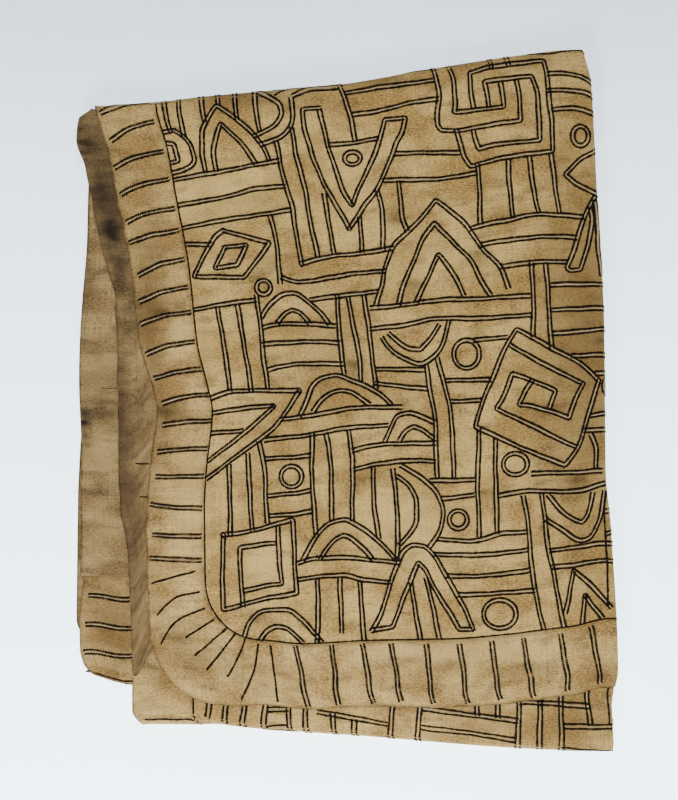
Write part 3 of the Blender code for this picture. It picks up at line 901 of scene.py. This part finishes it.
# Plan points in mm on the uppermost panel, from the left hem to the right fold. A line that ends
# beyond an outline runs on round that fold. The signs are those of the Kuba repertoire: nested
# chevrons, spirals, arches and eyes between rows of bars, each filling the space that the last left
TOP_ROW = [
    [(-131, 222), (-126, 195)], [(-120, 223), (-116, 191)], [(-104, 225), (-101, 201)],
    [(-92, 225), (-92, 214)], [(-80, 228), (-78, 203)], [(-65, 228), (-62, 195)],
    [(-133, 193), (-123, 195), (-116, 190), (-111, 183), (-109, 175), (-111, 170), (-116, 167), (-125, 164)],
    [(-134, 186), (-124, 185), (-120, 173), (-131, 171)],
    [(-101, 165), (-103, 176), (-103, 193), (-100, 202), (-93, 213), (-78, 203), (-67, 193), (-59, 182),
     (-55, 173)],
    [(-93, 166), (-95, 178), (-93, 191), (-90, 200), (-78, 189), (-70, 179), (-65, 171)],
    [(-124, 159), (-104, 163), (-82, 167), (-48, 173)],
    [(-120, 141), (-83, 148), (-64, 153), (-44, 155)],
    [(-115, 125), (-91, 130), (-64, 134), (-40, 138)],
    [(-63, 222), (-53, 218), (-47, 213), (-46, 208), (-48, 202), (-53, 197), (-59, 194), (-66, 191)],
    [(-39, 218), (-38, 209), (-39, 200), (-46, 191), (-52, 188), (-61, 185)],
    [(-51, 222), (-39, 226), (-7, 230)], [(-38, 220), (-26, 224), (-6, 226)],
    [(-50, 187), (-47, 172), (-43, 155), (-38, 138), (-35, 118), (-32, 99)],
    [(-39, 197), (-36, 180), (-32, 164), (-28, 146), (-25, 128), (-20, 104)],
    [(-5, 229), (0, 216), (4, 202), (7, 188)],
    [(0, 222), (19, 225), (41, 228), (63, 231)], [(5, 206), (19, 208), (48, 215), (66, 217)],
]
MIDDLE_TOP = [
    [(-19, 211), (-31, 210), (-29, 195), (-25, 180), (-20, 167), (-13, 152), (-5, 138), (3, 124)],
    [(-19, 210), (-15, 194), (-12, 182), (-8, 170), (-3, 154), (5, 141), (10, 155), (17, 169), (22, 180),
     (25, 190), (28, 203), (43, 204), (41, 194), (36, 185), (33, 176), (29, 167), (24, 155), (13, 140),
     (3, 124)],
    [(-12, 185), (4, 186), (23, 189)],
    [(36, 178), (75, 179), (82, 179)], [(27, 159), (75, 161), (94, 164)],
    [(23, 152), (26, 138), (27, 110)], [(38, 158), (41, 133), (44, 123)],
    [(-15, 149), (-13, 133), (-8, 106)], [(10, 132), (12, 108)],
]
SPIRAL_RIGHT = [
    [(63, 239), (67, 223), (66, 199), (69, 195), (81, 195), (105, 199), (126, 202), (125, 217), (123, 231)],
    [(74, 240), (78, 228), (79, 216), (78, 208), (91, 209), (105, 211), (114, 212), (113, 221), (111, 230)],
    [(92, 211), (90, 226), (89, 236), (105, 241), (122, 243), (142, 245), (145, 234), (146, 223),
     (148, 203), (149, 180), (131, 178), (113, 175), (90, 169), (84, 179), (80, 195)],
    [(103, 212), (102, 221), (100, 230), (113, 232), (134, 234), (138, 221), (139, 203), (140, 188),
     (122, 186), (110, 185), (96, 182), (93, 190), (92, 195)],
    [(103, 252), (105, 240)], [(114, 254), (117, 243)],
    [(146, 236), (157, 236), (168, 234), (179, 227)], [(146, 224), (161, 224), (172, 222), (181, 217)],
    [(149, 210), (161, 211), (172, 209), (182, 205)],
    [(181, 181), (170, 175), (158, 163), (165, 157), (182, 149)],
    [(95, 170), (96, 156), (97, 128)], [(117, 173), (118, 156), (120, 132)],
    [(132, 176), (134, 160), (139, 136)], [(148, 177), (150, 160), (154, 136)],
    [(90, 124), (103, 128), (119, 131), (132, 134), (155, 134), (171, 133)],
    [(98, 113), (115, 116), (135, 118), (166, 118)], [(112, 97), (132, 100), (159, 100)],
    [(179, 147), (171, 131), (167, 117), (163, 105), (159, 96), (162, 94), (169, 95), (172, 104),
     (175, 115), (177, 133), (176, 140)],
    [(179, 145), (181, 131), (182, 108), (184, 91)],
]
LEFT_MIDDLE = [
    [(-88, 123), (-55, 114), (-73, 89), (-109, 90), (-94, 118), (-88, 123)],
    [(-87, 111), (-71, 113), (-78, 98), (-94, 96), (-87, 111)],
    [(-113, 113), (-97, 113)], [(-54, 133), (-50, 115), (-47, 85)],
    [(-110, 66), (-86, 70), (-65, 73)], [(-92, 67), (-88, 44), (-83, 8)],
    [(-78, 69), (-73, 41), (-68, 8)], [(-64, 76), (-61, 53), (-56, 10)],
    [(-60, 61), (-53, 71), (-44, 77), (-38, 78), (-27, 72), (-18, 64), (-12, 56)],
    [(-49, 56), (-44, 63), (-39, 66), (-33, 64), (-26, 56)],
    [(-59, 53), (-44, 56), (-31, 56), (-8, 54)], [(-59, 41), (-31, 43), (-5, 42)],
    [(-55, 23), (-35, 27), (-3, 27)],
    [(-32, 99), (-6, 105), (13, 107), (34, 110)], [(-46, 89), (-33, 86), (-11, 89), (8, 92), (28, 94)],
    [(-25, 73), (-11, 75), (3, 77), (23, 79)],
    [(-6, 75), (-4, 44), (-1, 20)], [(2, 75), (6, 51), (10, 33), (11, 15)],
    [(13, 76), (17, 51), (19, 32), (22, 10)],
]
CENTRE = [
    [(22, 69), (26, 83), (28, 95), (35, 112), (46, 123), (56, 134), (65, 145), (80, 133), (88, 125),
     (98, 111), (112, 95), (117, 82)],
    [(38, 70), (42, 85), (48, 98), (56, 118), (64, 128), (77, 115), (91, 100), (98, 86), (104, 77)],
    [(51, 72), (59, 89), (67, 106), (77, 92), (85, 77)],
    [(18, 67), (37, 69), (71, 73), (98, 74), (132, 76)], [(18, 52), (42, 55), (61, 59), (98, 60), (133, 62)],
    [(26, 46), (32, 38), (42, 31), (54, 27), (63, 32), (71, 44), (74, 57)],
    [(31, 49), (46, 38), (54, 37), (60, 44), (67, 55)],
    [(22, 23), (57, 23)], [(22, 13), (40, 11), (58, 9)], [(92, 44), (116, 46)],
    [(58, 26), (62, 1), (64, -10), (66, -55)], [(66, 31), (71, 13), (74, 0), (77, -26), (78, -55)],
    [(73, 15), (104, 16)], [(76, 0), (97, 1)],
    [(134, 99), (135, 72), (135, 47)], [(144, 99), (146, 72), (148, 39)],
    [(148, 84), (190, 84)], [(148, 66), (190, 67)], [(149, 49), (190, 52)], [(163, 33), (191, 33)],
    [(180, 20), (191, 20)],
]
SPIRAL_LOW = [
    [(182, 15), (173, -15), (167, -33), (158, -46), (133, -36), (108, -25), (93, -18), (98, -2),
     (105, 15), (115, 39), (123, 52), (147, 39), (168, 28), (182, 15)],
    [(118, 41), (144, 26), (171, 13), (165, 1), (161, -12), (147, -7), (133, -3), (125, -2), (129, 7),
     (134, 15)],
    [(147, -4), (151, 8), (134, 15), (120, 20), (112, 1), (108, -5), (133, -17), (166, -33)],
    [(134, -52), (158, -51), (184, -50)], [(110, -68), (126, -65), (170, -64), (186, -59)],
    [(177, -24), (180, -34), (180, -48)], [(177, -10), (193, -8)], [(172, -21), (192, -21)],
    [(128, -68), (132, -96), (134, -121), (143, -166)], [(141, -67), (145, -100), (149, -121), (157, -162)],
    [(145, -85), (158, -94), (170, -100), (175, -98), (183, -84), (186, -65)],
    [(146, -67), (154, -77), (164, -85), (170, -87), (174, -82), (178, -66)],
    [(147, -107), (166, -105), (192, -102)], [(149, -119), (168, -117), (192, -115)],
    [(186, -79), (195, -78)], [(188, -95), (196, -92)],
    [(158, -152), (161, -139), (164, -121), (175, -131), (183, -139), (191, -148)],
    [(170, -162), (172, -139), (185, -156)],
]
LEFT_LOW = [
    [(-95, 3), (-82, 7), (-51, 8), (-33, 8), (-39, -2), (-51, -18), (-63, -28), (-86, -45), (-98, -54)],
    [(-94, -8), (-73, -5), (-51, -3), (-72, -22), (-97, -41)], [(-97, -23), (-74, -21)],
    [(-84, -46), (-83, -73), (-83, -95)], [(-70, -38), (-69, -64), (-67, -92)],
    [(-62, -29), (-58, -51), (-56, -87)],
    [(-33, -10), (-28, 0), (-24, 11), (-16, 17), (-8, 19), (5, 15), (22, 7), (33, -2)],
    [(-23, -7), (-16, 2), (-4, 8), (3, 7), (17, -2)],
    [(-46, -13), (-25, -10), (5, -5), (40, -4)], [(-58, -28), (-33, -25), (3, -19), (30, -17)],
    [(28, -29), (33, -18), (38, -10), (45, -8), (55, -11), (63, -15)],
    [(39, -28), (44, -21), (49, -18), (56, -21), (63, -26)],
    [(5, -35), (26, -31), (45, -30), (64, -30)], [(6, -49), (22, -45), (40, -43), (64, -43)],
    [(-58, -41), (-25, -39)], [(-55, -68), (-26, -64)], [(-54, -82), (-24, -79)],
    [(-24, -23), (-24, -56), (-21, -97)], [(-14, -23), (-10, -56), (-10, -85)],
    [(2, -21), (5, -42), (5, -59), (5, -85)], [(20, -48), (20, -67), (24, -98)],
    [(34, -49), (37, -75), (37, -114)],
    [(-88, -96), (-64, -92), (-38, -85), (-35, -138), (-88, -150), (-88, -96)],
    [(-50, -102), (-76, -105), (-74, -147)], [(-49, -90), (-46, -131), (-72, -136)],
]
LOW_MIDDLE = [
    [(40, -46), (56, -56), (66, -67), (70, -78), (69, -90), (60, -105)],
    [(37, -54), (46, -61), (51, -72), (51, -84), (46, -95), (39, -103)],
    [(61, -57), (92, -56)], [(69, -70), (92, -67)],
    [(96, -20), (95, -53), (96, -97)], [(108, -27), (108, -59), (109, -95)],
    [(-31, -114), (-20, -96), (-10, -87), (-1, -85), (5, -87), (21, -98), (36, -114)],
    [(-18, -113), (-7, -99), (-1, -96), (5, -99), (20, -114)],
    [(-34, -116), (-20, -113), (-3, -112), (18, -114), (39, -116)],
    [(-34, -128), (-20, -126), (-3, -125), (13, -128), (32, -130)],
    [(-20, -128), (-20, -169)], [(-4, -127), (-3, -166)], [(10, -130), (13, -167)],
    [(-72, -167), (-69, -159), (-62, -152), (-54, -150), (-41, -150), (-30, -158), (-20, -170)],
    [(-61, -171), (-55, -164), (-49, -162), (-43, -163), (-32, -172)],
    [(19, -165), (26, -152), (32, -131), (37, -118), (42, -108), (49, -103), (56, -104), (63, -110),
     (71, -123), (80, -139), (87, -152), (92, -164), (82, -164), (74, -151), (64, -134), (58, -122),
     (52, -116), (46, -131), (40, -146), (34, -162), (19, -165)],
    [(47, -131), (53, -167)], [(58, -127), (67, -168)],
    [(67, -99), (94, -100), (113, -95), (130, -94)], [(64, -110), (100, -110), (130, -107)],
    [(73, -125), (105, -125), (133, -121)], [(81, -139), (136, -136)],
]
Ring = namedtuple("Ring", "x y reach_x reach_y")
UPPER_RINGS = (Ring(5, 175, 5.7, 4.5), Ring(169, 191, 5.7, 7), Ring(-59, 82, 5.1, 5.1))
LOWER_RINGS = (
    Ring(87, 34, 9.2, 10.1), Ring(188, 11, 2.4, 5.4), Ring(-39, -54, 7.5, 7.5), Ring(81, -85, 6.5, 6.5),
    Ring(122, -45, 8.7, 7.7), Ring(111, -153, 11.7, 10.2),
)
SINGLES = (
    [(-3, 230), (30, 235), (62, 238)], [(132, 249), (148, 250), (168, 252), (173, 249)],
    [(187, -65), (186, -80), (188, -114), (189, -147)],
)


def sew_band(black, pale, line, half_width=BAND_HALF):
    """Two black rows and the pale filling between them, along a line of the flat cloth."""
    turns = np.linspace(0.0, len(line) * FINE_STEP / WIDTH_LENGTH, len(line))
    width = half_width * (1 + WIDTH_CHANGE * np.sin(turns + hand.uniform(0, 6.3)))[:, None]
    black.sew(beside(line, width))
    black.sew(beside(line, -width))
    pale.sew(line)


# Black: raffia steeped in iron-rich mud and dye, dry and slightly brown where it has worn
black_yarn = yarn_material("mud_dyed_raffia_yarn", "#1D150F", "#080604", 0.1)
# Pale: undyed yarn laid across between the black rows, greyer than the cloth
pale_yarn = yarn_material("undyed_raffia_yarn", "#CFB98C", "#9E865A", 0.2)

upper_black, lower_black = Yarn(BLACK_STITCH), Yarn(BLACK_STITCH)
upper_pale, lower_pale = Yarn(PALE_STITCH), Yarn(PALE_STITCH)
for groups, rings, black, pale in (
    ((TOP_ROW, MIDDLE_TOP, SPIRAL_RIGHT, LEFT_MIDDLE), UPPER_RINGS, upper_black, upper_pale),
    ((CENTRE, SPIRAL_LOW, LEFT_LOW, LOW_MIDDLE), LOWER_RINGS, lower_black, lower_pale),
):
    for group in groups:
        for points in group:
            sew_band(black, pale, up_to_seam(hand_drawn(flat_of(points, "A", 0))))
    for eye in rings:
        line = hand_drawn(flat_of(ring_of(*eye), "A", 0), ring=True, wobble=RING_WOBBLE)
        sew_band(black, pale, line)
for points in SINGLES:
    upper_black.sew(hand_drawn(flat_of(points, "A", 0)))
for yarn, name, material in (
    (upper_black, "pattern_black_upper", black_yarn), (lower_black, "pattern_black_lower", black_yarn),
    (upper_pale, "pattern_pale_upper", pale_yarn), (lower_pale, "pattern_pale_lower", pale_yarn),
):
    piece = yarn.piece(name, material)
    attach(piece, "root")

# Border bars, corner lines and seam
# Short bars of the same black and pale yarn across the border, single rows round its corner, and the
# dark row that covers the seam between field and border. They hold the layers of the border together.

Bar = namedtuple("Bar", "hem seam")
# Heights on the left border where a bar starts at the hem and ends at the seam, in mm
LEFT_BARS = [Bar(*row) for row in (
    (208, 215), (188, 201), (168, 180), (149, 160), (129, 139), (114, 123), (91, 102), (72, 82), (56, 64),
    (34, 43), (17, 23), (-1, 5), (-17, -14), (-36, -34), (-54, -54), (-74, -77), (-96, -97), (-113, -114),
)]
# Places along the bottom border, the same way
BOTTOM_BARS = [Bar(*row) for row in (
    (-27, -36), (-5, -10), (20, 12), (40, 33), (63, 58), (88, 82), (111, 105), (135, 128), (160, 155),
    (183, 177),
)]
CORNER_LINES = (
    [(-139, -131), (-109, -122)], [(-135, -153), (-122, -141), (-106, -137)],
    [(-133, -174), (-122, -158), (-102, -149)], [(-115, -170), (-95, -157)],
    [(-108, -183), (-86, -163)], [(-100, -193), (-89, -180), (-80, -168)],
    [(-85, -198), (-77, -184), (-72, -170)], [(-75, -215), (-67, -198), (-63, -175)],
    [(-49, -216), (-51, -198), (-54, -176)],
)
BAR_END = 4.4
BAR_HALF = 1.3
BACK_BAR_PITCH = 24.0
BACK_BARS_FROM = 470.0
CORNER_CLEAR = 60.0
SEAM_CLEAR = 3.0
SEAM_STITCH = Stitch(1.5, 2.4, 1.05, 0.66, 12.0, 0.2)
ON_SEAM = 0.25


def border_point(place_along, from_hem_mm, side):
    """The plan point of a border, so many mm in from its hem."""
    if side == "left":
        return float(through(LEFT_HEMS["A"][0], place_along)) + from_hem_mm, place_along
    return place_along, float(through(BOTTOMS["A"][0], place_along)) + from_hem_mm


bars_black, bars_pale, corner_rows = Yarn(BAR_STITCH), Yarn(PALE_STITCH), Yarn(BLACK_STITCH)
for side, bars, wide in (("left", LEFT_BARS, SIDE_BORDER), ("bottom", BOTTOM_BARS, END_BORDER)):
    for bar in bars:
        short = BAR_END + hand.uniform(-2.0, 1.0)
        ends = [border_point(bar.hem, short, side), border_point(bar.seam, wide - SEAM_CLEAR, side)]
        (x1, y1), (x2, y2) = ends
        # A bar that climbs towards the seam bows upwards too
        middle = ((x1 + x2) / 2, (y1 + y2) / 2 + 0.2 * (y2 - y1) * (side == "left"))
        sew_band(bars_black, bars_pale, hand_drawn(flat_of([ends[0], middle, ends[1]], "A", 0)), BAR_HALF)
for points in CORNER_LINES:
    corner_rows.sew(hand_drawn(flat_of(points, "A", 0), smoothing=9.0))
# The bars go on round the rest of the cloth, evenly, except on half B's two corners that show
B_CORNERS = ((850.0, 1000.0), (1735.0, CLOTH_LENGTH))
for v in np.arange(BACK_BARS_FROM, CLOTH_LENGTH - CORNER_CLEAR, BACK_BAR_PITCH):
    on_b = not any(start < v < end for start, end in B_CORNERS)
    for hem, inward in ((0.0, 1.0), (CLOTH_WIDTH, -1.0))[:1 + on_b]:
        near, far = hem + inward * BAR_END, hem + inward * (SIDE_BORDER - SEAM_CLEAR)
        ends = np.array([(near, v), (far, v + hand.uniform(-4.0, 6.0))])
        sew_band(bars_black, bars_pale, hand_drawn(ends), BAR_HALF)
for u in np.arange(70.0, CLOTH_WIDTH - CORNER_CLEAR, BACK_BAR_PITCH):
    far = (u + hand.uniform(-3, 3), CLOTH_LENGTH - END_BORDER + SEAM_CLEAR)
    ends = np.array([(u, CLOTH_LENGTH - BAR_END), far])
    sew_band(bars_black, bars_pale, hand_drawn(ends), BAR_HALF)
seam_row = Yarn(SEAM_STITCH)
on_seam = seam_line - ON_SEAM * outward
seam_loop = np.concatenate([on_seam, on_seam[:1]])
seam_row.sew(hand_drawn(seam_loop, ring=True, smoothing=1.8, wobble=RING_WOBBLE))
for yarn, name, material in (
    (bars_black, "border_bars_black", black_yarn), (bars_pale, "border_bars_pale", pale_yarn),
    (corner_rows, "corner_rows", black_yarn), (seam_row, "seam_row", black_yarn),
):
    piece = yarn.piece(name, material)
    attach(piece, "root")

# Stitched pattern on the lower layers that show
# Bottom strip, its folded lip and the far end's hem: the same bands, seen where the layers step out.
# The reverse of the upper left layer shows only specks, where the stitches come through.

STRIP_BANDS = (
    [(-98, -212), (-100, -228)], [(-85, -212), (-88, -231)], [(-72, -212), (-75, -234)],
    [(-57, -212), (-60, -240)], [(-41, -212), (-41, -241)], [(-29, -212), (-29, -246)],
    [(-56, -223), (-42, -223)], [(-57, -236), (-42, -236)],
    [(-20, -225), (5, -229), (30, -234)], [(-9, -227), (-9, -247)], [(6, -231), (6, -248)],
    [(35, -214), (31, -253)], [(54, -215), (51, -255)],
    [(56, -222), (88, -226), (124, -231)], [(55, -236), (88, -240), (123, -245)],
    [(95, -213), (95, -226)], [(110, -213), (110, -228)],
    [(126, -209), (124, -259)], [(141, -209), (140, -260)], [(156, -209), (156, -260)],
    [(126, -217), (150, -218), (175, -220)], [(175, -206), (177, -234)], [(159, -235), (194, -235)],
    [(157, -252), (180, -253), (195, -254)],
)
STRIP_SINGLES = ([(190, -206), (191, -233)],)
LIP_V = PANELS[0] + PANELS[1] + 1.35 * FOLD_LENGTH
LIP_ROW = [(CLOTH_WIDTH - 7, LIP_V), (CLOTH_WIDTH - 40, LIP_V + 0.3)]
END_HEM = [(-188, -196), (-173, -200), (-152, -203)]
END_BARS = ([(-186, -141), (-150, -143)], [(-188, -162), (-150, -164)], [(-189, -182), (-150, -184)])
SHOWN_THROUGH = (
    [(-150.8, -45), (-142, -45)], [(-148, -68.8), (-142.9, -68.8)], [(-174.6, 9.7), (-165.2, 9.7)],
)
SPECK_STITCH = Stitch(1.8, 1.9, 0.8, 0.4, 25.0, 0.1)
# The bands of the bottom strip were sewn a little wider than the rest
STRIP_HALF = 1.5

strip_black, strip_pale = Yarn(BLACK_STITCH), Yarn(PALE_STITCH)
for points in STRIP_BANDS:
    sew_band(strip_black, strip_pale, hand_drawn(flat_of(points, "B", 1)), STRIP_HALF)
for points in STRIP_SINGLES:
    strip_black.sew(hand_drawn(flat_of(points, "B", 1)))
for points in END_BARS:
    sew_band(strip_black, strip_pale, hand_drawn(flat_of(points, "B", 3)), BAR_HALF)
strip_black.sew(hand_drawn(LIP_ROW))
strip_black.sew(hand_drawn(flat_of(END_HEM, "B", 3)))
specks = Yarn(SPECK_STITCH, on_reverse=True)
for points in SHOWN_THROUGH:
    specks.sew(hand_drawn(flat_of(points, "B", 0), smoothing=1.0))
for yarn, name, material in (
    (strip_black, "strip_black", black_yarn), (strip_pale, "strip_pale", pale_yarn),
    (specks, "reverse_specks", black_yarn),
):
    piece = yarn.piece(name, material)
    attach(piece, "root")

# Loose threads
# Ends of raffia that have worked out of the hems: single strips, curled, 3 to 9 mm long.

Thread = namedtuple("Thread", "x y z turn length curl")
THREADS = [Thread(*row) for row in (
    (-188, 153, 13.0, 185, 5, 40), (-190, 173, 13.0, 170, 4, -50), (-193, -64, 9.5, 200, 5, 60),
    (-192, -171, 2.5, 215, 7, 40), (-192, -178, 2.0, 240, 6, -50), (-150, -233, 9.0, 190, 9, 45),
    (-146, -235, 8.5, 215, 8, -40), (-168, -203, 2.5, 260, 5, 40), (-160, -204, 2.5, 275, 6, -60),
)]
THREAD_HALF = 0.13
THREAD_RINGS = 9
thread_points, thread_faces = [], []
for row in THREADS:
    at = np.array([row.x, row.y, row.z])
    bends = np.radians(row.turn + row.curl * np.linspace(0.0, 1.0, THREAD_RINGS) ** 2)
    for ring, bend in enumerate(bends):
        start = len(thread_points)
        side = np.array([-math.sin(bend), math.cos(bend), 0.0]) * THREAD_HALF
        up = np.array([0.0, 0.0, THREAD_HALF])
        thread_points += [at + side, at + up, at - side, at - up]
        if ring:
            for k in range(4):
                after = (k + 1) % 4
                thread_faces.append((start - 4 + k, start - 4 + after, start + after, start + k))
        at = at + np.array([math.cos(bend), math.sin(bend), -0.12]) * row.length / (THREAD_RINGS - 1)
thread_mesh = bpy.data.meshes.new("loose_threads")
thread_mesh.from_pydata(((np.array(thread_points) - ORIGIN) * MM).tolist(), [], thread_faces)
thread_mesh.materials.append(pale_yarn)
loose_threads = in_scene("loose_threads", thread_mesh)
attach(loose_threads, "root")

# Floor, light and camera
# A smooth pale table under a large soft light from the near side, seen from straight above.

FLOOR_HALF = 2.5
FLOOR_LEVEL = -0.0003
floor_mesh = bpy.data.meshes.new("floor")
floor_mesh.from_pydata(
    [(-FLOOR_HALF, -FLOOR_HALF, 0), (FLOOR_HALF, -FLOOR_HALF, 0), (FLOOR_HALF, FLOOR_HALF, 0),
     (-FLOOR_HALF, FLOOR_HALF, 0)], [], [(0, 1, 2, 3)],
)
floor = in_scene("floor", floor_mesh)
floor.location.z = FLOOR_LEVEL
table_top, tree, shader = new_material("table_top")
where = add(tree, "TexCoord", {}).outputs["Object"]
soft_clouds = add(tree, "TexNoise", {"Vector": where, "Scale": 3.0, "Detail": 2.0}).outputs[0]
paint = blend_colour(tree, ramp(tree, soft_clouds, 0.3, 0.7), colour("#E6ECF1"), colour("#EDF2F6"))
tree.links.new(paint, shader.inputs["Base Color"])
shader.inputs["Roughness"].default_value = 0.7
# Painted light: the table glows, faintly far off and strongly on the near side, so it looks lit from there
height_on_table = add(tree, "SeparateXYZ", {0: where}).outputs[1]
painted_floor_light = add(tree, "MapRange", {0: height_on_table, 1: 0.3, 2: -0.3, 3: 0.85, 4: 5.0}).outputs[0]
tree.links.new(painted_floor_light, shader.inputs["Emission Strength"])
shader.inputs["Emission Color"].default_value = colour("#DCF1FC")
floor_mesh.materials.append(table_top)


def soft_light(name, size, power, where_from, tint):
    """A square soft box that looks at the cloth."""
    data = bpy.data.lights.new(name, "AREA")
    data.shape, data.size, data.energy, data.color = "SQUARE", size, power, tint
    light = in_scene(name, data)
    light.location = where_from
    light.rotation_euler = (-Vector(where_from)).to_track_quat("-Z", "Y").to_euler()


soft_light("near_box", 0.6, 24.0, (-0.45, -1.05, 0.95), (0.98, 0.99, 1.0))
soft_light("overhead", 0.9, 17.0, (0.15, 0.25, 1.7), (0.96, 0.98, 1.0))

world = bpy.data.worlds.new("studio")
world.use_nodes = True
world.node_tree.nodes["Background"].inputs["Color"].default_value = (0.9, 0.95, 1.0, 1.0)
world.node_tree.nodes["Background"].inputs["Strength"].default_value = 0.3
bpy.context.scene.world = world

SENSOR = 36.0
LENS = 80.3
CAMERA_PLACE = (-0.0053, 0.0011, 1.3)
camera_data = bpy.data.cameras.new("overhead")
camera_data.sensor_width = SENSOR
camera_data.lens = LENS
camera = in_scene("overhead", camera_data)
camera.location = CAMERA_PLACE
bpy.context.scene.camera = camera
